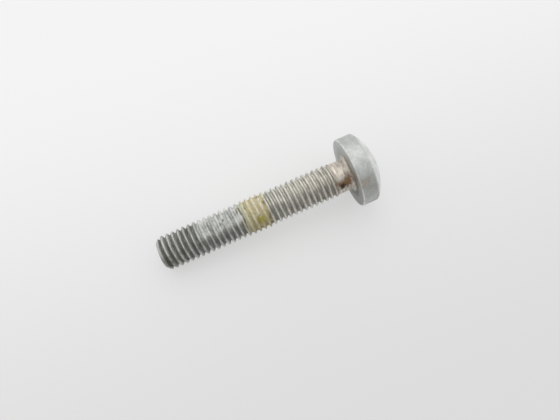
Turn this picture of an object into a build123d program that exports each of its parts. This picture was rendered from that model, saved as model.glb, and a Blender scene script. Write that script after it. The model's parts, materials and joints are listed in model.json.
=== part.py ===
"""Pan-head machine screw M8 x 1.25 x 45 with a six-lobe drive, lying on its side.

The screw is cold-forged and thread-rolled from one blank, so it is one solid. It
is modelled upright about its own axis, from the tip at z = 0 to the top of the
head, and then laid down as it comes to rest: on the rim of its head and on the
first full thread crest behind the tip. The thread is a right-hand helix of the
basic metric profile. Its turns are made of flat facets, which keeps a long thread
light; the worn crests and the rounded root are left to the finish.
"""
from build123d import *
import math
import os

# --- Shank, all lengths in millimetres ---
MAJOR_D = 8.0            # over the crests of the thread
SHANK_LENGTH = 45.0      # from the tip to the bearing face under the head
TIP_FACE_D = 6.0         # flat left at the end of the shank
TIP_CHAMFER = 1.0        # axial length of the cone that leads the thread in
NECK_D = 7.1             # rolling blank, left plain between thread and head
NECK_LENGTH = 3.3        # from the end of the thread to the bearing face
RUN_OUT = 1.2            # axial length in which the crests sink to the neck
NECK_FILLET = 0.7        # radius between the neck and the bearing face

# --- Thread ---
PITCH = 1.25
FLANK_ANGLE = 60.0       # between the two flanks of a groove
THREAD_FACETS = 24       # flat facets in a turn
SHORTEST_FACET = 0.05    # facets that the thread's ends would cut shorter close up

# --- Head ---
HEAD_D = 16.0
HEAD_SIDE = 3.7          # height of the cylindrical side
DOME_RISE = 2.8          # height of the domed top above the side
LOWER_RIM_R = 0.3        # rounded edge between bearing face and side
UPPER_RIM_R = 0.8        # rounded edge between side and dome

# --- Six-lobe drive recess, size 45 ---
LOBES = 6
LOBE_TIP_D = 7.93        # across opposite lobes
LOBE_ROOT_D = 5.64       # across opposite valleys
LOBE_R = 0.6             # radius of each lobe
RECESS_DEPTH = 3.2       # from the top of the dome to the end of the lobes
RECESS_POINT = 0.6       # further depth of the conical floor
CUT_MARGIN = 1.0         # how far the recess's cutter stands out of the dome

# --- Worked out from the sizes above ---
MAJOR_R = MAJOR_D / 2
TIP_R = TIP_FACE_D / 2
NECK_R = NECK_D / 2
HEAD_R = HEAD_D / 2
THREAD_END = SHANK_LENGTH - NECK_LENGTH
SIDE_TOP = SHANK_LENGTH + HEAD_SIDE
HEAD_TOP = SIDE_TOP + DOME_RISE
CREST_FLAT = PITCH / 8
ROOT_FLAT = PITCH / 4
FLANK = (PITCH - CREST_FLAT - ROOT_FLAT) / 2
ROOT_R = MAJOR_R - FLANK / math.tan(math.radians(FLANK_ANGLE / 2))
THREAD_SECTION = (
    (0, MAJOR_R),
    (CREST_FLAT, MAJOR_R),
    (CREST_FLAT + FLANK, ROOT_R),
    (PITCH - FLANK, ROOT_R),
)


def held_radius(radius, z):
    """A thread radius held within the tip's cone and the run-out to the neck."""
    if z <= 0:
        return TIP_R
    if z >= THREAD_END:
        return NECK_R
    cone = TIP_R + (MAJOR_R - TIP_R) * z / TIP_CHAMFER
    fade = max(0, 1 - (THREAD_END - z) / RUN_OUT)
    lowest = ROOT_R + (NECK_R - ROOT_R) * fade
    highest = MAJOR_R + (NECK_R - MAJOR_R) * fade
    return min(max(radius, lowest), highest, cone)


def thread_corner(row, column):
    """A corner of the thread's facets.

    Rows follow the thread's section from the tip to the head, and columns follow
    the helix. A crest's first edge passes under the axis at the chamfer's end.
    Corners are rounded, so that those that fall together are equal.
    """
    turn, place = divmod(row, len(THREAD_SECTION))
    offset, radius = THREAD_SECTION[place]
    share = (column + 0.5) / THREAD_FACETS
    z = TIP_CHAMFER + offset + PITCH * (turn + share)
    if z < SHORTEST_FACET:
        z = 0
    if z > THREAD_END - SHORTEST_FACET:
        z = THREAD_END
    angle = math.tau * share - math.pi / 2
    radius = held_radius(radius, z)
    corner = (radius * math.cos(angle), radius * math.sin(angle), z)
    return tuple(round(value, 6) for value in corner)


def threaded_rod():
    """The threaded length as a closed body of facets."""
    rows = len(THREAD_SECTION)
    first = -rows * (math.ceil(TIP_CHAMFER / PITCH) + 1)
    last = rows * math.ceil(THREAD_END / PITCH)
    outlines = [
        [thread_corner(end, column) for column in range(THREAD_FACETS)]
        for end in (first, last)
    ]
    for row in range(first, last):
        for column in range(THREAD_FACETS):
            here = thread_corner(row, column)
            across = thread_corner(row + 1, column + 1)
            outlines.append([here, thread_corner(row, column + 1), across])
            outlines.append([here, across, thread_corner(row + 1, column)])
    facets = [
        Face(Wire.make_polygon(outline))
        for outline in outlines
        if len(set(outline)) == len(outline)
    ]
    return Solid(Shell(facets))


def turned_head():
    """The neck and the head, turned about the Z axis from one outline."""
    dome_r = (HEAD_R**2 + DOME_RISE**2) / (2 * DOME_RISE)
    half_r = HEAD_R / 2
    half_z = HEAD_TOP - dome_r + math.sqrt(dome_r**2 - half_r**2)
    sides = Polyline(
        (0, 0, HEAD_TOP),
        (0, 0, THREAD_END),
        (NECK_R, 0, THREAD_END),
        (NECK_R, 0, SHANK_LENGTH),
        (HEAD_R, 0, SHANK_LENGTH),
        (HEAD_R, 0, SIDE_TOP),
    )
    dome = ThreePointArc((HEAD_R, 0, SIDE_TOP), (half_r, 0, half_z), (0, 0, HEAD_TOP))
    outline = make_face(sides + dome)
    for radius, height, rounding in (
        (NECK_R, SHANK_LENGTH, NECK_FILLET),
        (HEAD_R, SHANK_LENGTH, LOWER_RIM_R),
        (HEAD_R, SIDE_TOP, UPPER_RIM_R),
    ):
        corner = outline.vertices().sort_by_distance((radius, 0, height))[0]
        outline = fillet(corner, rounding)
    return revolve(outline, Axis.Z)


def on_circle(radius, angle):
    return Vector(radius * math.cos(angle), radius * math.sin(angle))


def six_lobe_outline():
    """Lobes and valleys as arcs that run into each other without a corner."""
    lobe_centre = LOBE_TIP_D / 2 - LOBE_R
    root = LOBE_ROOT_D / 2
    half_step = math.pi / LOBES
    cosine = math.cos(half_step)
    valley_r = (
        lobe_centre**2 + root**2 - 2 * lobe_centre * root * cosine - LOBE_R**2
    ) / (2 * (LOBE_R + lobe_centre * cosine - root))
    lobe_share = LOBE_R / (LOBE_R + valley_r)

    def joint(lobe, valley):
        from_lobe = on_circle(lobe_centre, lobe) * (1 - lobe_share)
        return from_lobe + on_circle(root + valley_r, valley) * lobe_share

    arcs = []
    for i in range(LOBES):
        lobe = 2 * i * half_step
        before, after = lobe - half_step, lobe + half_step
        start, end = joint(lobe, before), joint(lobe, after)
        arcs.append(ThreePointArc(start, on_circle(LOBE_TIP_D / 2, lobe), end))
        arcs.append(
            ThreePointArc(end, on_circle(root, after), joint(after + half_step, after))
        )
    return make_face(arcs)


def drive_recess():
    """The six-lobe hole with its conical floor, as a body to cut away."""
    floor = HEAD_TOP - RECESS_DEPTH
    hole = Pos(0, 0, floor) * extrude(six_lobe_outline(), RECESS_DEPTH + CUT_MARGIN)
    point = Pos(0, 0, floor) * Cone(
        0, LOBE_ROOT_D / 2, RECESS_POINT, align=(Align.CENTER, Align.CENTER, Align.MAX)
    )
    return hole + point


def upright_bolt():
    """The whole screw about the Z axis, its tip at the origin."""
    return turned_head() - drive_recess() + threaded_rod()


def resting_plane():
    """Where the screw's own frame comes to lie: its tip at -X, its head at +X.

    The floor touches the first corner of a full crest, half a facet to one side of
    the lowest line, and the rounded lower rim of the head, and that sets the tilt
    of the axis. A lobe of the recess points to +Y.
    """
    crest_z = TIP_CHAMFER + PITCH / (2 * THREAD_FACETS)
    crest_drop = MAJOR_R * math.cos(math.pi / THREAD_FACETS)
    along = SHANK_LENGTH + LOWER_RIM_R - crest_z
    across = HEAD_R - LOWER_RIM_R - crest_drop
    tilt = math.atan2(across, along) + math.asin(LOWER_RIM_R / math.hypot(along, across))
    axis = Vector(math.cos(tilt), 0, math.sin(tilt))
    down = Vector(math.sin(tilt), 0, -math.cos(tilt))
    touching = axis * crest_z + down * crest_drop
    return Plane(origin=(0, 0, -touching.Z), x_dir=(0, 1, 0), z_dir=axis)


def bolt():
    """The screw at rest, with the origin under the middle of its box."""
    lying = resting_plane() * upright_bolt()
    middle = lying.bounding_box().center()
    return Pos(-middle.X, -middle.Y, 0) * lying


if __name__ == "__main__":
    os.makedirs("parts", exist_ok=True)
    export_step(bolt(), "parts/bolt.step")
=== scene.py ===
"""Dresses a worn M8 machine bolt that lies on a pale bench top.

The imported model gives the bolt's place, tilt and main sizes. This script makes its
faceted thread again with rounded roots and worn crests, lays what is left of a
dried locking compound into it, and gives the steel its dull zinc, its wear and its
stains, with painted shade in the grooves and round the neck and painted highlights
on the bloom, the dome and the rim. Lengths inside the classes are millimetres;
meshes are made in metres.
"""
import json
import logging
import math
from dataclasses import dataclass, field
from enum import Enum, IntEnum

import bmesh
import bpy
import numpy as np
from mathutils import Matrix, Vector, noise

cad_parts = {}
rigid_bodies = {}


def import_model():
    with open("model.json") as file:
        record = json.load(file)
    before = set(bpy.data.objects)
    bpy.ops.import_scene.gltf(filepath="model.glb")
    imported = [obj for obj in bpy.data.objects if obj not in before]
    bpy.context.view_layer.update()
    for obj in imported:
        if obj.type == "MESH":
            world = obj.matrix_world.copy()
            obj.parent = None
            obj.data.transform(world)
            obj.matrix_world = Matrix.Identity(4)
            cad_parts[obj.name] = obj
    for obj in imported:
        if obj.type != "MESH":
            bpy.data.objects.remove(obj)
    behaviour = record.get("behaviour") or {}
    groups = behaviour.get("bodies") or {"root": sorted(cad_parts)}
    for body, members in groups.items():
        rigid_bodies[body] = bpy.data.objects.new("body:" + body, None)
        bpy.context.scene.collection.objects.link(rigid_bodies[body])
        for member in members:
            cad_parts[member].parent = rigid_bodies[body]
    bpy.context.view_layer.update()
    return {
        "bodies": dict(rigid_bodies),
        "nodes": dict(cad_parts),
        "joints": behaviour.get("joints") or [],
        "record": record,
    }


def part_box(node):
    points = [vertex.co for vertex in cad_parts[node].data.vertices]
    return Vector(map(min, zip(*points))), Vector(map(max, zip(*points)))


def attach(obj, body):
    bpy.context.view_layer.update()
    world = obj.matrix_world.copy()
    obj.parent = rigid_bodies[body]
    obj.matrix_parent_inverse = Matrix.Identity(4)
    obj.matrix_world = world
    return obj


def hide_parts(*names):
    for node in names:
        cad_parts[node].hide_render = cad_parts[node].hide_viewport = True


MM = 0.001
MERGE_DISTANCE = 0.0001 * MM
# How far apart two patterns lie in the noise, so that they have nothing in common.
SEED_STEP = (17.3, 5.9, 11.7)
# A row of points this near to an edge lies on it, in millimetres.
TOUCH = 1e-9

# The side of the bolt that the window lights, in degrees round its axis.
LIT_DEGREES = 40.0
# Down on the bolt, as an angle round its axis.
DOWN = -math.pi / 2
# The range that nearly all of a pattern falls in, and how rough it is.
NOISE_SPAN = (0.3, 0.7)
NOISE_ROUGHNESS = 0.6
log = logging.getLogger("bolt")


class Seed(IntEnum):
    """Which noise is which, so that each shape has a pattern of its own."""

    DENTS = 1
    NICKS = 2
    RAGGED_EDGE = 5
    LUMPS = 6
    CRUMBS = 7


class Station(Enum):
    """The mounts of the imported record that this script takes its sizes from."""

    TIP = "thread"
    BEARING = "bearing_face"
    HEAD_TOP = "drive_recess"


def linear(hex_colour: str) -> tuple[float, float, float, float]:
    """Turns an sRGB hex colour into linear light.

    Args:
        hex_colour: A colour such as "8C8A86".

    Returns:
        Red, green, blue and an alpha of 1.
    """
    parts = [int(hex_colour[i : i + 2], 16) / 255 for i in (0, 2, 4)]
    red, green, blue = (
        c / 12.92 if c <= 0.04045 else ((c + 0.055) / 1.055) ** 2.4 for c in parts
    )
    return red, green, blue, 1.0


def smooth(value: np.ndarray, low: float, high: float) -> np.ndarray:
    """Rises smoothly from 0 at low to 1 at high.

    Args:
        value: The values to map.
        low: Where the rise starts.
        high: Where it ends.

    Returns:
        The risen values, as an array of the same shape.
    """
    t = np.clip((value - low) / (high - low), 0.0, 1.0)
    return t * t * (3 - 2 * t)


def speckle(points: np.ndarray, size: float, seed: Seed) -> np.ndarray:
    """Samples smooth noise at a set of points.

    Args:
        points: Positions in millimetres, one row each.
        size: How far apart the noise's lumps are, in millimetres.
        seed: Which pattern it is.

    Returns:
        One value from about -1 to 1 for each point.
    """
    offset = Vector([step * seed for step in SEED_STEP])
    return np.array([noise.noise(Vector(p) / size + offset) for p in points])


def arc(
    centre: tuple[float, float], radius: float, start: float, end: float, count: int
) -> list[tuple[float, float]]:
    """Draws an arc of a turned outline, without its first point.

    Args:
        centre: The arc's centre, as distances from the axis and from the tip.
        radius: The arc's radius.
        start: The angle it starts at, in radians from straight out.
        end: The angle it ends at.
        count: How many points it would have with the first.

    Returns:
        Pairs of distances from the axis and from the tip.
    """
    out, along = centre
    angles = np.linspace(start, end, count)[1:]
    return [(out + radius * math.cos(a), along + radius * math.sin(a)) for a in angles]


def into_scene(name: str, data: bpy.types.ID) -> bpy.types.Object:
    """Puts a new mesh, light or camera into the scene.

    Args:
        name: The new object's name.
        data: What it shows.

    Returns:
        The object.
    """
    item = bpy.data.objects.new(name, data)
    bpy.context.scene.collection.objects.link(item)
    return item


@dataclass(frozen=True)
class BoltSpace:
    """The bolt's own frame: distances from the tip, round its tilted axis."""

    tip: Vector
    axis: Vector
    side: Vector
    up: Vector
    crest_r: float
    thread_end: float
    shank_length: float
    head_top: float
    head_r: float

    @classmethod
    def from_frame(cls, frame: dict) -> "BoltSpace":
        """Reads the bolt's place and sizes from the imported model.


        Returns:
            The frame that every piece is built in.
        """
        mounts = {m["name"]: m for m in frame["record"]["mounts"]}
        thread = mounts[Station.TIP.value]
        tip = Vector(thread["pos_m"])
        axis = -Vector(thread["axis"]).normalized()
        side = Vector((0, 1, 0))
        low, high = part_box("bolt")

        def reach(station: Station) -> float:
            """Distance from the tip along the axis, in millimetres."""
            return (Vector(mounts[station.value]["pos_m"]) - tip).dot(axis) / MM

        return cls(
            tip=tip,
            axis=axis,
            side=side,
            up=axis.cross(side),
            crest_r=thread["dims"]["r_mm"],
            thread_end=thread["dims"]["length_mm"],
            shank_length=reach(Station.BEARING),
            head_top=reach(Station.HEAD_TOP),
            head_r=round((high.y - low.y) / 2 / MM, 1),
        )

    def place(self, r: np.ndarray, turn: np.ndarray, z: np.ndarray) -> np.ndarray:
        """Turns positions round the axis into points of the row frame.

        Args:
            r: Distances from the axis, in millimetres.
            turn: Angles about the axis from the side direction, in radians.
            z: Distances from the tip, in millimetres.

        Returns:
            Points in metres, with a last dimension of three.
        """
        r, turn, z = np.broadcast_arrays(r, turn, z)
        return np.array(self.tip) + MM * (
            (r * np.cos(turn))[..., None] * np.array(self.side)
            + (r * np.sin(turn))[..., None] * np.array(self.up)
            + z[..., None] * np.array(self.axis)
        )


@dataclass
class MeshDraft:
    """Collects grids of points and turns them into one closed mesh."""

    points: list[np.ndarray] = field(default_factory=list)
    faces: list[np.ndarray] = field(default_factory=list)
    count: int = 0

    def add_tube(self, grid: np.ndarray, seam_shift: int = 0, flip: bool = False) -> None:
        """Adds a tube whose rows run round and whose columns run along.

        Args:
            grid: Points as rows x columns x 3. The last column joins the first.
            seam_shift: How many rows on the seam joins, as for a helix.
            flip: Whether the faces look the other way.
        """
        rows, columns, _ = grid.shape
        index = self.count + np.arange(rows * columns).reshape(rows, columns)
        here, after = index, np.roll(index, -1, axis=1)
        if seam_shift:
            joined = np.minimum(np.arange(rows) + seam_shift, rows - 1)
            after = after.copy()
            after[:, -1] = index[joined, 0]
        quads = np.stack([here[:-1], after[:-1], after[1:], here[1:]], axis=-1)
        quads = quads.reshape(-1, 4)
        self.faces.append(quads[:, ::-1] if flip else quads)
        self.points.append(grid.reshape(-1, 3))
        self.count += rows * columns

    def build(self, name: str, sharp_angle: float) -> bpy.types.Object:
        """Makes the mesh object, with doubled points merged.

        Args:
            name: The piece's name.
            sharp_angle: Edges bent by more than this, in degrees, stay sharp.

        Returns:
            The new object, linked to the scene.
        """
        mesh = bpy.data.meshes.new(name)
        mesh.from_pydata(
            np.concatenate(self.points).tolist(), [], np.concatenate(self.faces).tolist()
        )
        tidy = bmesh.new()
        tidy.from_mesh(mesh)
        bmesh.ops.remove_doubles(tidy, verts=tidy.verts, dist=MERGE_DISTANCE)
        bmesh.ops.recalc_face_normals(tidy, faces=tidy.faces)
        tidy.to_mesh(mesh)
        tidy.free()
        mesh.shade_smooth()
        mesh.set_sharp_from_angle(angle=math.radians(sharp_angle))
        return into_scene(name, mesh)


@dataclass(frozen=True)
class RolledThread:
    """A right-hand metric thread, with crests that wear has blunted."""

    space: BoltSpace
    pitch: float = 1.25
    depth: float = 0.7668
    root_r: float = 0.1804
    # A flank's slope against the axis, in degrees.
    flank_slope: float = 60.0
    # Wear: the crests' edges, all crests evenly, broad dents and fine nicks.
    crest_blunting: float = 0.03
    even_wear: float = 0.05
    dent_depth: float = 0.09
    dent_size: float = 1.6
    dent_span: tuple[float, float] = (0.2, 0.75)
    nick_depth: float = 0.035
    nick_size: float = 0.5
    nick_span: tuple[float, float] = (0.1, 0.6)
    first_crest: float = 1.08
    tip_face_r: float = 2.97
    neck_r: float = 3.55
    run_out: float = 1.2
    # The groove's bottom rises over this many lengths of the run-out.
    root_run_out: float = 1.5
    # Where the rows of points lie, as shares of half a crest, a flank and a root.
    crest_rows: tuple[float, ...] = (0.0, 0.6, 1.1, 1.5)
    flank_rows: tuple[float, ...] = (0.33, 0.66, 1.0)
    root_rows: tuple[float, ...] = (0.5, 1.0)
    columns: int = 144
    snap: float = 0.02

    @property
    def minor_r(self) -> float:
        """Distance from the axis to the bottom of the groove."""
        return self.space.crest_r - self.depth

    @property
    def turns(self) -> np.ndarray:
        """The angle of each column of points."""
        return np.arange(self.columns) * 2 * math.pi / self.columns

    @property
    def half_crest(self) -> float:
        """Half the width of the flat on an unworn crest."""
        return self.pitch / 16

    @property
    def half_root(self) -> float:
        """Half the width of the rounded root, up to where it meets the flanks."""
        return self.root_r * math.sin(math.radians(self.flank_slope))

    def row_offsets(self) -> np.ndarray:
        """Spaces the rows of points within one pitch, closer where the thread bends.

        Returns:
            Distances from the crest's middle, from one root to the next.
        """
        crest = self.half_crest * np.array(self.crest_rows)
        foot = self.pitch / 2 - self.half_root
        flank = crest[-1] + (foot - crest[-1]) * np.array(self.flank_rows)
        root = foot + (self.pitch / 2 - foot) * np.array(self.root_rows)
        half = np.concatenate([crest, flank, root])
        return np.concatenate([-half[-2:0:-1], half])

    def profile(self, offset: np.ndarray) -> np.ndarray:
        """Distance of the thread's surface from the axis.

        Args:
            offset: Distances from the middle of the nearest crest, along the axis.

        Returns:
            The radius at each place, before the tip's cone and the run-out.
        """
        slope = math.tan(math.radians(self.flank_slope))
        past_crest = (np.abs(offset) - self.half_crest) * slope
        blunting = self.crest_blunting
        flank = self.space.crest_r - blunting * np.logaddexp(0, past_crest / blunting)
        from_root = np.clip(self.pitch / 2 - np.abs(offset), 0, self.root_r)
        root = self.minor_r + self.root_r - np.sqrt(self.root_r**2 - from_root**2)
        in_root = from_root < self.half_root + TOUCH
        return np.where(in_root, root, flank)

    def envelope(self, z: np.ndarray) -> tuple[np.ndarray, np.ndarray]:
        """Bounds the thread by the tip's cone and by its run-out into the neck.

        Args:
            z: Distances from the tip.

        Returns:
            The lowest and the highest radius at each distance.
        """
        end = self.space.thread_end
        fade = np.clip((z - (end - self.run_out)) / self.run_out, 0, 1)
        high = self.space.crest_r + (self.neck_r - self.space.crest_r) * fade
        rise = smooth(z, end - self.root_run_out * self.run_out, end)
        low = self.minor_r + (self.neck_r - self.minor_r) * rise
        cone = self.tip_face_r + z
        return np.minimum(low, cone), np.minimum(high, cone)

    def stations(self, start: float, end: float) -> tuple[np.ndarray, np.ndarray]:
        """Helical rows of points between two distances from the tip.

        Args:
            start: Where the rows begin; rows before it are held at it.
            end: Where the rows end; rows past it are held at it.

        Returns:
            Distances from the tip, and from the middle of the nearest crest, as
            arrays of rows x columns.
        """
        offsets = self.row_offsets()
        first = math.floor((start - self.first_crest) / self.pitch) - 2
        last = math.ceil((end - self.first_crest) / self.pitch) + 1
        centres = self.first_crest + self.pitch * np.arange(first, last + 1)
        rows = (centres[:, None] + offsets[None, :]).ravel()
        offset = np.tile(offsets, len(centres))
        lead = self.pitch * (self.turns - DOWN) / (2 * math.pi)
        z = rows[:, None] + lead[None, :]
        z = np.where(z < start + self.snap, start, z)
        z = np.where(z > end - self.snap, end, z)
        return z, np.broadcast_to(offset[:, None], z.shape)

    def surface(self) -> np.ndarray:
        """Shapes the whole threaded length, from the tip's face to the neck.

        Returns:
            Points in metres, as rows x columns x 3.
        """
        z, offset = self.stations(0.0, self.space.thread_end)
        low, high = self.envelope(z)
        r = np.clip(self.profile(offset), low, high)
        r = np.clip(r - self.wear(z, offset, r), np.minimum(low, r), r)
        return self.space.place(r, self.turns[None, :], z)

    def wear(self, z: np.ndarray, offset: np.ndarray, r: np.ndarray) -> np.ndarray:
        """Wears the crests, evenly and by the knocks of use.

        Args:
            z: Distances from the tip.
            offset: Distances from the middle of the nearest crest.
            r: Distances of the unworn surface from the axis.

        Returns:
            How much is gone at each point, in millimetres.
        """
        turns = np.broadcast_to(self.turns, z.shape)
        spots = np.stack([r * np.cos(turns), r * np.sin(turns), z], axis=-1)
        on_crest = np.abs(offset) < 2 * self.half_crest
        inside = (z > 0) & (z < self.space.thread_end)
        mask = on_crest & inside
        worn = np.zeros(z.shape)
        dents = speckle(spots[mask], self.dent_size, Seed.DENTS)
        nicks = speckle(spots[mask], self.nick_size, Seed.NICKS)
        dents = smooth(dents, *self.dent_span)
        nicks = smooth(nicks, *self.nick_span)
        worn[mask] = self.dent_depth * dents + self.nick_depth * nicks
        worn[mask] += self.even_wear
        return worn


@dataclass(frozen=True)
class DriveRecess:
    """A six-lobe driver recess with a conical floor."""

    lobes: int = 6
    lobe_tip_r: float = 3.965
    root_r: float = 2.82
    lobe_r: float = 0.6
    depth: float = 3.2
    point: float = 0.6
    # Width and depth of the small bevel round the mouth.
    edge: float = 0.1

    def outline(self, turns: np.ndarray) -> np.ndarray:
        """Draws the lobes and the valleys between them, as arcs that meet evenly.

        Args:
            turns: Angles round the axis, in radians.

        Returns:
            Distance of the recess's wall from the axis at each angle.
        """
        lobe_centre = self.lobe_tip_r - self.lobe_r
        half_step = math.pi / self.lobes
        cosine = math.cos(half_step)
        valley_r = (
            lobe_centre**2
            + self.root_r**2
            - 2 * lobe_centre * self.root_r * cosine
            - self.lobe_r**2
        ) / (2 * (self.lobe_r + lobe_centre * cosine - self.root_r))
        valley_centre = self.root_r + valley_r
        share = self.lobe_r / (self.lobe_r + valley_r)
        joint_x = lobe_centre * (1 - share) + valley_centre * share * cosine
        joint_y = valley_centre * share * math.sin(half_step)
        from_lobe = np.abs((turns + half_step) % (2 * half_step) - half_step)
        from_valley = half_step - from_lobe
        lobe = lobe_centre * np.cos(from_lobe) + np.sqrt(
            np.maximum(self.lobe_r**2 - (lobe_centre * np.sin(from_lobe)) ** 2, 0)
        )
        valley = valley_centre * np.cos(from_valley) - np.sqrt(
            np.maximum(valley_r**2 - (valley_centre * np.sin(from_valley)) ** 2, 0)
        )
        return np.where(from_lobe < math.atan2(joint_y, joint_x), lobe, valley)


@dataclass(frozen=True)
class PanHead:
    """The plain neck and the low domed head above it, with its drive recess."""

    space: BoltSpace
    thread: RolledThread
    recess: DriveRecess = DriveRecess()
    neck_fillet: float = 0.7
    side_height: float = 3.7
    lower_rim_r: float = 0.3
    upper_rim_r: float = 0.8
    # Numbers of points along the outline.
    arc_points: int = 7
    neck_points: int = 8
    straight_points: int = 9
    dome_points: int = 17
    # Rings of the recess's conical floor, as shares of its radius.
    floor_rings: tuple[float, ...] = (1.0, 0.6, 0.25, 0.0)

    @property
    def side_top(self) -> float:
        """Distance from the tip at which the straight side ends."""
        return self.space.shank_length + self.side_height

    @property
    def dome_r(self) -> float:
        """Radius of the sphere that the dome is part of."""
        rise = self.space.head_top - self.side_top
        return (self.space.head_r**2 + rise**2) / (2 * rise)

    def dome_height(self, r: np.ndarray) -> np.ndarray:
        """Distance of the dome from the tip at a distance from the axis."""
        return self.space.head_top - self.dome_r + np.sqrt(self.dome_r**2 - r**2)

    def outline(self) -> np.ndarray:
        """Draws the turned outline from the end of the thread to the dome.

        Returns:
            Pairs of distances from the axis and from the tip, one row each.
        """
        space, neck_r = self.space, self.thread.neck_r
        bearing = space.shank_length
        neck_top = bearing - self.neck_fillet
        foot_r = neck_r + self.neck_fillet
        rim_r = space.head_r - self.lower_rim_r
        rim_z = bearing + self.lower_rim_r
        shoulder_r = space.head_r - self.upper_rim_r
        to_shoulder = self.dome_r - self.upper_rim_r
        shoulder_z = (
            space.head_top - self.dome_r + math.sqrt(to_shoulder**2 - shoulder_r**2)
        )
        over = math.acos(shoulder_r / to_shoulder)
        quarter, points = math.pi / 2, self.arc_points
        ring = np.linspace(foot_r, rim_r, self.straight_points)[1:]
        side = np.linspace(rim_z, shoulder_z, self.straight_points)[1:]
        runs = [
            [(neck_r, z) for z in np.linspace(space.thread_end, neck_top, self.neck_points)],
            arc((foot_r, neck_top), self.neck_fillet, 2 * quarter, quarter, points),
            [(r, bearing) for r in ring],
            arc((rim_r, rim_z), self.lower_rim_r, -quarter, 0, points),
            [(space.head_r, z) for z in side],
            arc((shoulder_r, shoulder_z), self.upper_rim_r, 0, over, points),
        ]
        return np.array([pair for run in runs for pair in run])

    def surface(self) -> np.ndarray:
        """Shapes the neck, the head and the recess down to its point.

        Returns:
            Points in metres, as rows x columns x 3.
        """
        turns = self.thread.turns[None, :]
        recess = self.recess
        outline = self.outline()
        wall = recess.outline(turns)
        mouth = wall + recess.edge
        inwards = np.linspace(0, 1, self.dome_points)[1:, None]
        dome = outline[-1, 0] + (mouth - outline[-1, 0]) * inwards
        floor = self.space.head_top - recess.depth
        top = self.dome_height(mouth) - recess.edge
        walls = top + (floor - top) * np.linspace(0, 1, self.straight_points)[:, None]
        cone = recess.root_r * np.array(self.floor_rings)[:, None]
        cone_z = floor - recess.point * (1 - cone / recess.root_r)
        wide = np.ones_like(turns)
        r = [outline[:, :1] * wide, dome, wall * np.ones_like(walls), cone * wide]
        z = [outline[:, 1:] * wide, self.dome_height(dome), walls, cone_z * wide]
        return self.space.place(np.concatenate(r), turns, np.concatenate(z))


# What a node's input can be linked to: a node, by its first output, or an output.
Source = bpy.types.Node | bpy.types.NodeSocket
# A fade: where it starts and ends, and what it gives there.
Fade = tuple[float, float, float, float]
SMOOTH = {"interpolation_type": "SMOOTHSTEP"}


@dataclass(frozen=True)
class NodeSheet:
    """The nodes of one material, or of the room, in the order they are added."""

    owner: bpy.types.Material | bpy.types.World

    @classmethod
    def blank(cls, owner: bpy.types.Material | bpy.types.World) -> "NodeSheet":
        """Starts a material or a room that has no nodes yet.

        Args:
            owner: The new material or world.

        Returns:
            The sheet to add its nodes to.
        """
        owner.use_nodes = True
        owner.node_tree.nodes.clear()
        return cls(owner)

    def add(
        self, kind: str, inputs: tuple | dict = (), **settings: str
    ) -> bpy.types.Node:
        """Adds a node with its settings and links.

        Args:
            kind: The node's type, such as "TexNoise".
            inputs: What goes in, in the node's own order or by name or number: a
                value, a colour in hex, or a source to link.
            settings: Attributes of the node, by name.

        Returns:
            The new node.
        """
        tree = self.owner.node_tree
        node = tree.nodes.new("ShaderNode" + kind)
        for key, value in settings.items():
            setattr(node, key, value)
        pairs = inputs.items() if isinstance(inputs, dict) else enumerate(inputs)
        for key, value in pairs:
            if isinstance(value, bpy.types.Node):
                value = value.outputs[0]
            if isinstance(value, bpy.types.NodeSocket):
                tree.links.new(value, node.inputs[key])
            else:
                value = linear(value) if isinstance(value, str) else value
                node.inputs[key].default_value = value
        return node

    def mask(self, *parts: Source | float | tuple) -> Source:
        """Makes a mask that shows only where all of its parts do.

        Args:
            parts: Shares from 0 to 1, and fades, each a source and then its Fade.

        Returns:
            The product of the parts.
        """
        product = None
        for part in parts:
            share = self.add("MapRange", part, **SMOOTH) if isinstance(part, tuple) else part
            if product is None:
                product = share
            else:
                product = self.add("Math", (product, share), operation="MULTIPLY")
        return product

    def coat(
        self, colour: Source | str, layer: Source | str, *parts: Source | float | tuple
    ) -> tuple[Source, Source]:
        """Lays a layer over a colour, where all parts of its mask let it show.

        Args:
            colour: The colour below.
            layer: The layer's own colour.
            parts: The parts of its mask.

        Returns:
            The new colour, and the mask.
        """
        mask = self.mask(*parts)
        mixed = self.add("Mix", {0: mask, 6: colour, 7: layer}, data_type="RGBA")
        return mixed.outputs[2], mask

    def finish(self, relief: Source, depth: float, inputs: dict) -> bpy.types.Material:
        """Ends a material with its shader.

        Args:
            relief: Fine relief, from 0 to 1.
            depth: Depth of that relief, in millimetres.
            inputs: The shader's other inputs, by name.

        Returns:
            The finished material.
        """
        bump = self.add("Bump", {"Distance": depth * MM, "Height": relief})
        shader = self.add("BsdfPrincipled", {**inputs, "Normal": bump})
        self.add("OutputMaterial", (shader,))
        return self.owner


class Pattern(Enum):
    """A finish's pattern: the width of its lumps, its finer layers and its squeeze.

    The width is in millimetres. A squeeze under 1 makes the lumps longer that way.
    """

    # Clouded patches that handling leaves on zinc, a little wider than a turn.
    BLOTCH = (1.6, 4, (1, 1, 1))
    # Corrosion pits. Real ones are a few hundredths wide; these are coarser, to show.
    PITS = (0.18, 3, (1, 1, 1))
    # Rolling's streaks round the thread, coarser than real ones and five times as
    # long as they are wide, to show.
    STREAKS = (0.4, 2, (0.2, 0.2, 1))
    # The slow swing of a zone's edge from one side of the bolt to the other.
    WANDER = (2.2, 2, (1, 1, 1))
    # Dried compound: where it lies thick, and its grit, coarser than real, to show.
    CRUST = (1.3, 3, (1, 1, 1))
    GRIT = (0.25, 3, (1, 1, 1))


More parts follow.
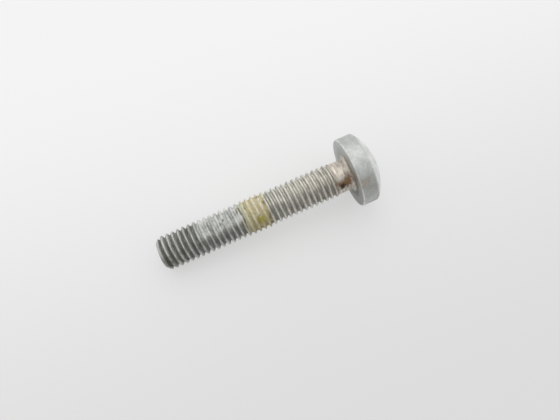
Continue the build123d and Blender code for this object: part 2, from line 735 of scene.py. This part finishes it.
@dataclass(frozen=True)
class Places:
    """Where each place of the bolt lies, and the patterns of one of its finishes."""

    spots: Source
    z: Source
    radius: Source
    top: Source
    pattern: dict[Pattern, Source]

    @classmethod
    def on(cls, sheet: NodeSheet, space: BoltSpace, *patterns: Pattern) -> "Places":
        """Adds the nodes that find each place in the bolt's own frame.

        Args:
            sheet: The material's nodes.
            space: The bolt's frame.
            patterns: The patterns that the finish needs.

        Returns:
            Sources in millimetres: the position, the distance from the tip, the
            distance from the axis and the height towards the lit side; and the
            patterns, from 0 to 1.
        """
        turned = Matrix((space.side, space.up, space.axis)).transposed().to_euler()
        here = sheet.add("TexCoord").outputs["Object"]
        frame = (here, tuple(space.tip), tuple(turned), (MM, MM, MM))
        spots = sheet.add("Mapping", frame, vector_type="TEXTURE")
        lit = math.radians(LIT_DEGREES)
        across = sheet.add("VectorMath", (spots, (1, 1, 0)), operation="MULTIPLY")
        z, radius, top = (
            sheet.add("VectorMath", inputs, operation=operation).outputs["Value"]
            for operation, inputs in (
                ("DOT_PRODUCT", (spots, (0, 0, 1))),
                ("LENGTH", (across,)),
                ("DOT_PRODUCT", (spots, (math.cos(lit), math.sin(lit), 0))),
            )
        )
        found = {}
        for pattern in patterns:
            width, layers, squeeze = pattern.value
            inputs = {
                "Vector": sheet.add("VectorMath", (spots, squeeze), operation="MULTIPLY"),
                "Scale": 1 / width,
                "Detail": layers,
                "Roughness": NOISE_ROUGHNESS,
            }
            found[pattern] = sheet.add("TexNoise", inputs)
        return cls(spots, z, radius, top, found)


@dataclass(frozen=True)
class StainSpot:
    """One stain: where it sits, how far it spreads and how dense it is."""

    z: float
    degrees: float
    r: float
    reach: float
    colour: str
    density: float = 1.0
    stretch: float = 1.0
    # The dense middle, and how far the edge wanders, as shares of the reach.
    middle: float = 0.15
    raggedness: float = 0.4

    def lay(self, sheet: NodeSheet, places: Places, colour: Source) -> tuple[Source, Source]:
        """Lays the stain over a colour.

        Args:
            sheet: The material's nodes.
            places: Where each place of the bolt lies.
            colour: The colour under the stain.

        Returns:
            The stained colour, and how strongly each place is stained.
        """
        turn = math.radians(self.degrees)
        squeeze = (1, 1, 1 / self.stretch)
        centre = (self.r * math.cos(turn), self.r * math.sin(turn), self.z / self.stretch)
        squeezed = sheet.add("VectorMath", (places.spots, squeeze), operation="MULTIPLY")
        away = sheet.add("VectorMath", (squeezed, centre), operation="DISTANCE")
        swing = self.raggedness * self.reach
        edge = (places.pattern[Pattern.BLOTCH], *NOISE_SPAN, -swing, swing)
        ragged = sheet.add("MapRange", edge, **SMOOTH)
        away = sheet.add("Math", (away.outputs["Value"], ragged), operation="ADD")
        fade = (away, self.middle * self.reach, self.reach, self.density, 0)
        return sheet.coat(colour, self.colour, fade)


@dataclass(frozen=True)
class WornZincSteel:
    """Zinc-plated steel, forged and thread-rolled, dulled and worn by use.

    The zinc has lost its shine, so the eye sees a soft satin grey. Steel shines
    through where the crests have rubbed, grime and painted shade sit in the grooves,
    and a chalky bloom, a beige film and one rust stain follow the shank towards the
    head; the bloom lies thick on the lit side as a painted highlight. The head has
    painted shade round its neck and in its recess, a painted highlight on its lower
    rim and a dome painted lighter than its side.
    """

    space: BoltSpace
    thread: RolledThread
    head: PanHead
    name: str = "worn_zinc_plated_steel"
    # Where the shank's zones end, in millimetres from the tip, and how softly.
    tip_end: float = 8.9
    bloom_start: float = 10.6
    bloom_end: float = 19.0
    compound_end: float = 25.4
    tip_edge: tuple[float, float] = (-0.2, 0.8)
    bloom_edge: tuple[float, float] = (-0.4, 0.6)
    wander: float = 1.5
    # Grime in the grooves; the same colour paints the shade of the grooves and flanks.
    groove_grime_and_shade: str = "3C3A30"
    rubbed_steel: str = "E6E4E0"
    # A painted highlight on the lower rim.
    rim_highlight: str = "F0EFEC"
    chalk_and_highlight: str = "D6D7D3"
    head_zinc: str = "BFC1BE"
    # The dome, painted lighter than the side: a painted highlight.
    dome_highlight_zinc: str = "E4E5E3"
    # Painted shade round the neck, under the head and deep in the recess.
    neck_shade: str = "4C4842"
    # Zinc is a metal, but dirt and bloom on it are not, and they take its gloss; the
    # painted shade in the grooves takes it too.
    metallic: float = 0.85
    dirt_metallic: float = 0.2
    roughness: float = 0.5
    dull_roughness: float = 0.8
    rubbed_gloss: float = 0.12
    blotch_tones: Fade = (*NOISE_SPAN, 0.88, 1.1)
    pit_tones: Fade = (*NOISE_SPAN, 0.84, 1.14)
    streak_tones: Fade = (0.35, 0.65, 0.74, 1.22)
    pit_depth: float = 0.014
    # Grime in the grooves and painted shade, by distance from the axis, by side
    # and in patches; the shaded side and the flanks get painted shade.
    thread_start: Fade = (0.4, 0.9, 0, 1)
    end_fade: float = 0.6
    groove_foot: float = 0.05
    groove_top_r: float = 3.65
    flank_foot: tuple[float, float] = (0.06, 0.2)
    flank_top: Fade = (3.6, 3.82, 1, 0)
    flank_shade: float = 0.45
    shaded_side: Fade = (-0.5, 1.8, 1, 0)
    grime_and_side_shade: Fade = (0, 1, 0.12, 0.7)
    groove_patches: Fade = (0.3, 0.65, 0.5, 0.85)
    # Bare steel on the rubbed crests: how far down it reaches, and in what flecks.
    rubbed_depth: tuple[float, float] = (0.12, 0.03)
    rubbed_flecks: Fade = (0.4, 0.6, 0.4, 1)
    rubbed_share: float = 0.75
    tip_rubbed: float = 0.45
    rubbed_past: float = 1.0
    # The bloom, by side and in patches: thick on the lit side and thin on the shaded one,
    # which paints a highlight over the real bloom.
    bloom_side: Fade = (-0.3, 1.5, 0.1, 1)
    bloom_patches: Fade = (0.4, 0.6, 0.3, 0.85)
    # Where the head's own finish begins, past the fillet and past the bearing face.
    fillet_edge: tuple[float, float] = (-0.05, 0.2)
    bearing_edge: tuple[float, float] = (0.02, 0.1)
    dome_edge: float = 0.3
    # Painted shade on the head: in a ring round the neck, on its underside, in its recess.
    ring_reach: tuple[float, float] = (0.6, 2.6)
    head_side: Fade = (-4.0, 3.0, 1, 0)
    ring_shade: Fade = (0, 1, 0.35, 0.95)
    head_patches: Fade = (0.35, 0.65, 0.5, 0.95)
    underside_shade: float = 0.5
    recess_reach: tuple[float, float] = (1.4, 0.4)
    recess_shade: float = 0.6
    # A painted highlight along the lower rim's edge.
    rim_width: float = 0.12
    rim_height: tuple[float, float] = (0.2, 0.35)
    rim_share: float = 0.8
    stains: tuple[StainSpot, ...] = (
        StainSpot(0.6, 150, 3.6, 2.6, "565848", 0.6),
        StainSpot(15.4, 85, 3.9, 0.45, "4A4B50", 0.8),
        StainSpot(43.2, 136, 3.6, 1.8, "86653F", 0.95, 1.5),
        StainSpot(42.2, 150, 3.6, 1.3, "3A3026", 0.95, 0.7),
        StainSpot(46.0, 134, 8.0, 2.0, "A79A8A", 0.6),
    )

    def zones(self) -> list[tuple[float, str]]:
        """Lists the shank's base colours: tip, bloom, compound, clean zinc, neck.

        Returns:
            Distances from the tip in millimetres, each with its colour there.
        """
        end = self.space.thread_end
        return [
            (0.0, "C0C1BC"),
            (self.tip_end - 0.3, "BBBCB8"),
            (self.tip_end + 0.5, "AEB0AC"),
            (self.bloom_start, "B8BAB6"),
            (self.bloom_end - 0.3, "BCBDB9"),
            (self.bloom_end + 0.6, "B8B2A0"),
            (self.compound_end - 0.3, "B8B1A0"),
            (self.compound_end + 0.6, "DBD9D0"),
            (end - 1.5, "DAD6CC"),
            (end + 0.3, "CEC6BA"),
            (self.space.shank_length, "C4BCB1"),
        ]

    def material(self) -> bpy.types.Material:
        """Builds the material for everything made of the bolt's steel.

        Returns:
            The finished material.
        """
        sheet = NodeSheet.blank(bpy.data.materials.new(self.name))
        patterns = (Pattern.BLOTCH, Pattern.PITS, Pattern.STREAKS, Pattern.WANDER)
        places = Places.on(sheet, self.space, *patterns)
        blotch, pits, _, swing = places.pattern.values()
        sway = (-self.wander / 2, self.wander / 2)
        wander = sheet.add("MapRange", (swing, *NOISE_SPAN, *sway), **SMOOTH)
        station = sheet.add("Math", (places.z, wander), operation="ADD")
        colour = self.zone_colour(sheet, station)
        colour, rubbed, grime_and_shade = self.worn_thread(sheet, places, station, colour)
        colour, chalk_and_highlight = self.bloom(sheet, places, station, colour)
        colour = self.forged_head(sheet, places, colour)
        for pattern, tones in ((blotch, self.blotch_tones), (pits, self.pit_tones)):
            tone = sheet.add("MapRange", (pattern, *tones), **SMOOTH)
            colour = sheet.add("VectorMath", {0: colour, "Scale": tone}, operation="SCALE")
        dull = sheet.add("Math", (chalk_and_highlight, grime_and_shade), operation="MAXIMUM")
        for stain in self.stains:
            colour, mask = stain.lay(sheet, places, colour)
            dull = sheet.add("Math", (dull, mask), operation="MAXIMUM")
        metallic, rough = (
            sheet.add("MapRange", (dull, 0, 1, *limits), **SMOOTH)
            for limits in (
                (self.metallic, self.dirt_metallic),
                (self.roughness, self.dull_roughness),
            )
        )
        gloss = sheet.mask(rubbed, self.rubbed_gloss)
        rough = sheet.add("Math", (rough, gloss), operation="SUBTRACT")
        inputs = {"Base Color": colour, "Roughness": rough, "Metallic": metallic}
        return sheet.finish(pits, self.pit_depth, inputs)

    def zone_colour(self, sheet: NodeSheet, station: Source) -> Source:
        """Looks the shank's colour up.

        Args:
            sheet: The material's nodes.
            station: Distances from the tip, in millimetres.

        Returns:
            The colour at each distance.
        """
        share = (station, self.space.shank_length)
        ramp = sheet.add("ValToRGB", (sheet.add("Math", share, operation="DIVIDE"),))
        stops = ramp.color_ramp.elements
        zones = self.zones()
        while len(stops) < len(zones):
            stops.new(0.5)
        for stop, (z, colour) in zip(stops, zones):
            stop.position = z / self.space.shank_length
            stop.color = linear(colour)
        return ramp

    def worn_thread(
        self, sheet: NodeSheet, places: Places, station: Source, colour: Source
    ) -> tuple[Source, Source, Source]:
        """Darkens the grooves with grime and painted shade, and lets the crests shine.

        Args:
            sheet: The material's nodes.
            places: Where each place of the bolt lies.
            station: Distances from the tip that wander a little.
            colour: The colour of the plain zinc.

        Returns:
            The colour, how rubbed each place is and how much grime and painted shade lie on
            it.
        """
        blotch, pits, streaks, _ = places.pattern.values()
        end, minor_r = self.space.thread_end, self.thread.minor_r
        on_thread = sheet.mask(
            (places.z, end - self.end_fade, end, 1, 0), (places.z, *self.thread_start)
        )
        tip_edge = (self.tip_end + reach for reach in self.tip_edge)
        on_tip = sheet.mask((station, *tip_edge, 1, 0))
        # Painted shade: the grooves of the shaded side are darker.
        shaded = sheet.mask((places.top, *self.shaded_side))
        by_side = sheet.mask((shaded, *self.grime_and_side_shade))
        caked_and_shaded = sheet.add("Math", (on_tip, by_side), operation="MAXIMUM")
        depth = (minor_r + self.groove_foot, self.groove_top_r)
        groove = sheet.mask((places.radius, *depth, 1, 0), caked_and_shaded)
        foot = (minor_r + reach for reach in self.flank_foot)
        # Painted shade on the flanks, so that the crests and roots look bright.
        flank = sheet.mask(
            (places.radius, *foot, 0, 1), (places.radius, *self.flank_top), self.flank_shade
        )
        dirt_and_shade = sheet.add("Math", (groove, flank), operation="MAXIMUM")
        patches = (blotch, *self.groove_patches)
        colour, grime_and_shade = sheet.coat(colour, self.groove_grime_and_shade, dirt_and_shade, on_thread, patches)

        tone = sheet.add("MapRange", (streaks, *self.streak_tones), **SMOOTH)
        colour = sheet.add("VectorMath", {0: colour, "Scale": tone}, operation="SCALE")

        crest_r = self.space.crest_r - self.thread.even_wear
        crest = (crest_r - reach for reach in self.rubbed_depth)
        used = (self.tip_end, self.compound_end + self.rubbed_past)
        colour, rubbed = sheet.coat(
            colour,
            self.rubbed_steel,
            (places.radius, *crest, 0, 1),
            on_thread,
            (station, *used, self.tip_rubbed, 1),
            (pits, *self.rubbed_flecks),
            self.rubbed_share,
        )
        return colour, rubbed, grime_and_shade

    def bloom(
        self, sheet: NodeSheet, places: Places, station: Source, colour: Source
    ) -> tuple[Source, Source]:
        """Lays the chalky bloom over the lit side of a stretch of thread, as a painted
        highlight.

        Args:
            sheet: The material's nodes.
            places: Where each place of the bolt lies.
            station: Distances from the tip that wander a little.
            colour: The colour under the bloom.

        Returns:
            The colour and how thick the bloom lies.
        """
        end = (self.bloom_end + reach for reach in self.bloom_edge)
        return sheet.coat(
            colour,
            self.chalk_and_highlight,
            (station, self.tip_end, self.bloom_start, 0, 1),
            (station, *end, 1, 0),
            # Thick on the lit side, thin on the shaded one: a painted highlight.
            (places.top, *self.bloom_side),
            (places.pattern[Pattern.BLOTCH], *self.bloom_patches),
        )

    def forged_head(self, sheet: NodeSheet, places: Places, colour: Source) -> Source:
        """Gives the head its plain zinc, with painted shade round the neck and painted
        highlights.

        Args:
            sheet: The material's nodes.
            places: Where each place of the bolt lies.
            colour: The colour of the shank.

        Returns:
            The colour of the whole bolt.
        """
        head, radius, z = self.head, places.radius, places.z
        clear = self.thread.neck_r + head.neck_fillet
        bearing, top = self.space.shank_length, self.space.head_top
        wide = sheet.mask((radius, *(clear + reach for reach in self.fillet_edge), 0, 1))
        past = sheet.mask((z, *(bearing + reach for reach in self.bearing_edge), 0, 1))
        on_head = sheet.add("Math", (wide, past), operation="MAXIMUM")
        under = sheet.add("Math", (wide, past), operation="SUBTRACT")
        # Painted shade, darker on the side away from the light.
        shaded = sheet.mask((places.top, *self.head_side))
        patchy = sheet.mask((places.pattern[Pattern.BLOTCH], *self.head_patches))
        ring = (clear + reach for reach in self.ring_reach)
        round_neck = sheet.mask((radius, *ring, 1, 0), (shaded, *self.ring_shade), patchy)
        elsewhere = sheet.mask(shaded, patchy, self.underside_shade)
        grime_and_shade = sheet.add("Math", (round_neck, elsewhere), operation="MAXIMUM")
        rim_r = self.space.head_r - head.lower_rim_r
        dome = (z, head.side_top - self.dome_edge, head.side_top + self.dome_edge, 0, 1)
        mouth = (top - reach for reach in self.recess_reach)
        in_recess = ((radius, head.recess.lobe_tip_r, clear, 1, 0), (z, *mouth, 1, 0), past)
        height = (bearing + reach for reach in self.rim_height)
        rim = ((radius, rim_r, rim_r + self.rim_width, 0, 1), (z, *height, 1, 0))
        zinc = self.head_zinc
        for layer, parts in (
            # The dome painted lighter: a painted highlight.
            (self.dome_highlight_zinc, (dome,)),
            # Painted shade round the neck, on the underside and deep in the recess.
            (self.neck_shade, (grime_and_shade, under)),
            (self.neck_shade, (*in_recess, patchy, self.recess_shade)),
            # A painted highlight along the lower rim, in patches.
            (self.rim_highlight, (*rim, patchy, self.rim_share)),
        ):
            zinc, _ = sheet.coat(zinc, layer, *parts)
        return sheet.coat(colour, zinc, on_head)[0]


@dataclass(frozen=True)
class DriedCompound:
    """Thread-locking compound that has dried to a brittle yellow crust.

    It is a plastic film brushed on wet, so the eye sees no metal: it is matt,
    greenish at its start, cream where thin and ochre where it lies thick, with
    dark grit caught in it.
    """

    space: BoltSpace
    name: str = "dried_locking_compound"
    start: float = 19.2
    pale_end: float = 21.2
    green_grey: str = "C2C8B6"
    cream: str = "DED8C4"
    ochre: str = "B9AE84"
    shaded: str = "A3976E"
    grit: str = "4B4536"
    # Thick in the grooves, by distance from the axis, and in patches on the crests.
    groove: Fade = (3.5, 3.8, 1, 0)
    patches: Fade = (0.45, 0.65, 0, 0.7)
    shaded_side: Fade = (-1.0, 1.8, 0.5, 0)
    specks: Fade = (0.56, 0.7, 0, 0.8)
    roughness: Fade = (*NOISE_SPAN, 0.6, 0.75)
    ior: float = 1.5
    grain_depth: float = 0.03
    stains: tuple[StainSpot, ...] = (
        StainSpot(23.3, 140, 4.0, 1.7, "ACA33F", 0.9),
        StainSpot(23.1, 117, 3.9, 0.5, "3A3626", 0.9),
        StainSpot(24.1, 54, 3.9, 0.5, "3A3A36", 0.9),
    )

    def material(self) -> bpy.types.Material:
        """Builds the material of the dried compound.

        Returns:
            The finished material.
        """
        sheet = NodeSheet.blank(bpy.data.materials.new(self.name))
        patterns = (Pattern.BLOTCH, Pattern.CRUST, Pattern.GRIT)
        places = Places.on(sheet, self.space, *patterns)
        _, crust, grit = places.pattern.values()
        deep = sheet.mask((places.radius, *self.groove))
        lumpy = sheet.mask((crust, *self.patches))
        thick = sheet.add("Math", (deep, lumpy), operation="MAXIMUM")
        colour = self.cream
        for layer, part in (
            (self.ochre, thick),
            (self.green_grey, (places.z, self.start, self.pale_end, 1, 0)),
            (self.shaded, (places.top, *self.shaded_side)),
        ):
            colour, _ = sheet.coat(colour, layer, part)
        for stain in self.stains:
            colour, _ = stain.lay(sheet, places, colour)
        colour, _ = sheet.coat(colour, self.grit, (grit, *self.specks))
        rough = sheet.add("MapRange", (grit, *self.roughness), **SMOOTH)
        inputs = {"Base Color": colour, "Roughness": rough, "IOR": self.ior}
        return sheet.finish(grit, self.grain_depth, inputs)


@dataclass(frozen=True)
class BenchBoard:
    """Matt white coated board: even and pale, with no grain that shows.

    Its coating scatters the light, so the eye sees a soft shadow and no gloss.
    """

    name: str = "matt_white_board"
    near_light: str = "F4F4F4"
    far_light: str = "DDDDDD"
    roughness: float = 0.75
    ior: float = 1.5
    evenness: float = 0.6
    # Where it starts to darken and where it is darkest, in metres.
    fade_start: Vector = Vector((0.004, 0.06, 0))
    fade_end: Vector = Vector((-0.004, -0.06, 0))

    def material(self) -> bpy.types.Material:
        """Builds the board's material, which pales towards the light.

        Part of what the camera sees is the board's own even colour, so that the
        shadow on it stays faint, as on an overexposed board.

        Returns:
            The finished material.
        """
        sheet = NodeSheet.blank(bpy.data.materials.new(self.name))
        spots = sheet.add("TexCoord").outputs["Object"]
        length = (self.fade_end - self.fade_start).length
        along = (self.fade_end - self.fade_start).normalized()
        step = sheet.add("VectorMath", (spots, tuple(along)), operation="DOT_PRODUCT")
        start = self.fade_start.dot(along)
        far = (step.outputs["Value"], start, start + length, 0, 1)
        colour, _ = sheet.coat(self.near_light, self.far_light, far)
        inputs = {"Base Color": colour, "Roughness": self.roughness, "IOR": self.ior}
        shader = sheet.add("BsdfPrincipled", inputs)
        even = sheet.add("Emission", {"Color": colour})
        ray = sheet.add("LightPath").outputs
        rays = (ray["Is Camera Ray"], ray["Is Glossy Ray"])
        seen = sheet.add("Math", rays, operation="MAXIMUM")
        share = sheet.mask(seen, self.evenness)
        sheet.add("OutputMaterial", (sheet.add("MixShader", (share, shader, even)),))
        return sheet.owner


@dataclass(frozen=True)
class BoltBody:
    """The bolt itself, one piece of steel from its tip to its recess."""

    space: BoltSpace
    thread: RolledThread
    head: PanHead
    name: str = "bolt_steel"
    sharp_angle: float = 42.0
    # Rings of the tip's flat face, as shares of its radius.
    tip_rings: tuple[float, ...] = (0.0, 0.35, 0.7, 0.9, 1.0)

    def build(self) -> bpy.types.Object:
        """Makes the closed mesh and lets it stand for the faceted solid.

        Returns:
            The bolt's object, dressed and riding on the root body.
        """
        draft = MeshDraft()
        tip_r = self.thread.tip_face_r * np.array(self.tip_rings)[:, None]
        tip = self.space.place(tip_r, self.thread.turns[None, :], np.zeros((1, 1)))
        draft.add_tube(tip)
        rows = len(self.thread.row_offsets())
        draft.add_tube(self.thread.surface(), seam_shift=rows)
        draft.add_tube(self.head.surface())
        piece = draft.build(self.name, self.sharp_angle)
        steel = WornZincSteel(self.space, self.thread, self.head)
        piece.data.materials.append(steel.material())
        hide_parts("bolt")
        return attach(piece, "root")


@dataclass(frozen=True)
class LockingCompound:
    """What is left of the dried compound, between the crests of five turns."""

    space: BoltSpace
    thread: RolledThread
    start: float = 18.7
    end: float = 25.9
    # How far its edges wander, and over what length it thins out to nothing.
    ragged: float = 0.9
    ragged_size: float = 1.3
    bare_end: float = 0.3
    thin_end: float = 0.9
    # It fills the grooves up to fill_r, give or take its lumps and crumbs.
    inner_r: float = 3.0
    skin: float = 0.01
    fill_r: float = 3.5
    lumps: float = 0.2
    lump_size: float = 1.1
    crumb_size: float = 0.4
    crumb_share: float = 0.5
    # The film on the crests, and how deep its bare places hide in the steel.
    coat: float = 0.07
    coat_share: float = 0.6
    bury: float = 0.03
    name: str = "locking_compound"
    sharp_angle: float = 60.0

    def build(self) -> bpy.types.Object:
        """Makes a closed crust whose thin places stay under the steel.

        Returns:
            The compound's object, dressed and riding on the root body.
        """
        thread = self.thread
        z, offset = thread.stations(self.start, self.end)
        turns = np.broadcast_to(thread.turns, z.shape)
        steel = thread.profile(offset)
        spots = np.stack([steel * np.cos(turns), steel * np.sin(turns), z], axis=-1)
        spots = spots.reshape(-1, 3)
        edge = speckle(spots, self.ragged_size, Seed.RAGGED_EDGE).reshape(z.shape)
        edge = z + self.ragged * edge
        inside = smooth(edge, self.start + self.bare_end, self.start + self.thin_end)
        inside *= 1 - smooth(edge, self.end - self.thin_end, self.end - self.bare_end)
        lump = speckle(spots, self.lump_size, Seed.LUMPS)
        lump = lump + self.crumb_share * speckle(spots, self.crumb_size, Seed.CRUMBS)
        lump = lump.reshape(z.shape)
        fill = self.fill_r + self.lumps * lump
        film = steel + self.coat * np.clip(self.coat_share + lump, -1, 1)
        fill = np.maximum(fill, film)
        fill = self.inner_r + (fill - self.inner_r) * inside
        shown = fill > steel
        outer = np.where(shown, fill, np.minimum(fill, steel - self.bury))
        crest_r = self.space.crest_r
        outer = np.clip(outer, self.inner_r + self.skin, crest_r + self.coat)
        outer = np.where((z <= self.start) | (z >= self.end), self.inner_r, outer)
        draft = MeshDraft()
        rows = len(thread.row_offsets())
        draft.add_tube(self.space.place(outer, turns, z), seam_shift=rows)
        ends = np.array([self.start, self.end])[:, None]
        inner = self.space.place(self.inner_r, thread.turns[None, :], ends)
        draft.add_tube(inner, flip=True)
        piece = draft.build(self.name, self.sharp_angle)
        piece.data.materials.append(DriedCompound(self.space).material())
        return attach(piece, "root")


@dataclass(frozen=True)
class Studio:
    """The board, the soft light and the camera; none of it is part of the bolt."""

    # The camera: degrees round and up, millimetres away, and what it looks at.
    azimuth: float = -23.33
    elevation: float = 70.0
    distance: float = 116.27
    aim: Vector = Vector((2.457, -0.685, 4.0))
    lens: float = 33.0
    # The board and the soft light, in metres and watts.
    board_size: float = 2.0
    key_direction: Vector = Vector((0.1, 0.5, 1.0))
    key_distance: float = 0.6
    key_size: float = 0.5
    key_watts: float = 0.5
    # The room's walls, and what the camera would see past the board.
    bright_side: Vector = Vector((0.15, 0.75, 0.65))
    bright_wall: str = "FFFFFF"
    dim_wall: str = "8C8C8C"
    backdrop: str = "F2F2F2"
    # How the room pales from its dim side to its bright one, by their cosines.
    window_edge: Fade = (-0.6, 0.5, 0, 1)

    def board(self) -> bpy.types.Object:
        """Lays the pale board under the bolt.

        Returns:
            The board, which is staging and no part of the bolt.
        """
        half = self.board_size / 2
        corners = [(-half, -half, 0), (half, -half, 0), (half, half, 0), (-half, half, 0)]
        mesh = bpy.data.meshes.new("board")
        mesh.from_pydata(corners, [], [(0, 1, 2, 3)])
        board = into_scene("board", mesh)
        mesh.materials.append(BenchBoard().material())
        return board

    def light(self) -> bpy.types.Object:
        """Adds the soft key light and the even light of the room.

        Returns:
            The key light.
        """
        lamp = bpy.data.lights.new("key", "AREA")
        lamp.shape = "DISK"
        lamp.size = self.key_size
        lamp.energy = self.key_watts
        key = into_scene("key", lamp)
        key.location = self.key_direction.normalized() * self.key_distance
        key.rotation_euler = self.key_direction.to_track_quat("Z", "Y").to_euler()
        bpy.context.scene.world = self.room()
        return key

    def room(self) -> bpy.types.World:
        """Makes the room: pale where its window is, dimmer on the other side.

        Returns:
            The world that lights the bolt.
        """
        sheet = NodeSheet.blank(bpy.data.worlds.new("room"))
        facing = sheet.add("TexCoord").outputs["Generated"]
        bright = tuple(self.bright_side.normalized())
        towards = sheet.add("VectorMath", (facing, bright), operation="DOT_PRODUCT")
        window = (towards.outputs["Value"], *self.window_edge)
        wall, _ = sheet.coat(self.dim_wall, self.bright_wall, window)
        seen = sheet.add("LightPath").outputs["Is Camera Ray"]
        shown, _ = sheet.coat(wall, self.backdrop, seen)
        sheet.add("OutputWorld", (sheet.add("Background", (shown,)),))
        return sheet.owner

    def camera(self) -> bpy.types.Object:
        """Sets the camera that looks down on the bolt.

        Returns:
            The camera, made the scene's own.
        """
        data = bpy.data.cameras.new("camera")
        data.lens = self.lens
        data.clip_start = MM
        turn, rise = math.radians(self.azimuth), math.radians(self.elevation)
        back = Vector(
            (
                math.sin(turn) * math.cos(rise),
                -math.cos(turn) * math.cos(rise),
                math.sin(rise),
            )
        )
        camera = into_scene("camera", data)
        camera.location = (self.aim + back * self.distance) * MM
        camera.rotation_euler = back.to_track_quat("Z", "Y").to_euler()
        bpy.context.scene.camera = camera
        return camera


def main() -> None:
    """Builds the bolt, its dried compound and the studio round them."""
    logging.basicConfig(level=logging.INFO, format="%(name)s: %(message)s")
    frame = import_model()
    space = BoltSpace.from_frame(frame)
    thread = RolledThread(space)
    body = BoltBody(space, thread, PanHead(space, thread)).build()
    compound = LockingCompound(space, thread).build()
    for piece in (body, compound):
        piece.data.calc_loop_triangles()
        log.info("%s: %d triangles", piece.name, len(piece.data.loop_triangles))
    studio = Studio()
    for item in (studio.board(), studio.light(), studio.camera()):
        log.info("%s in place", item.name)
    bpy.context.scene.view_settings.view_transform = "Standard"


if __name__ == "__main__":
    main()
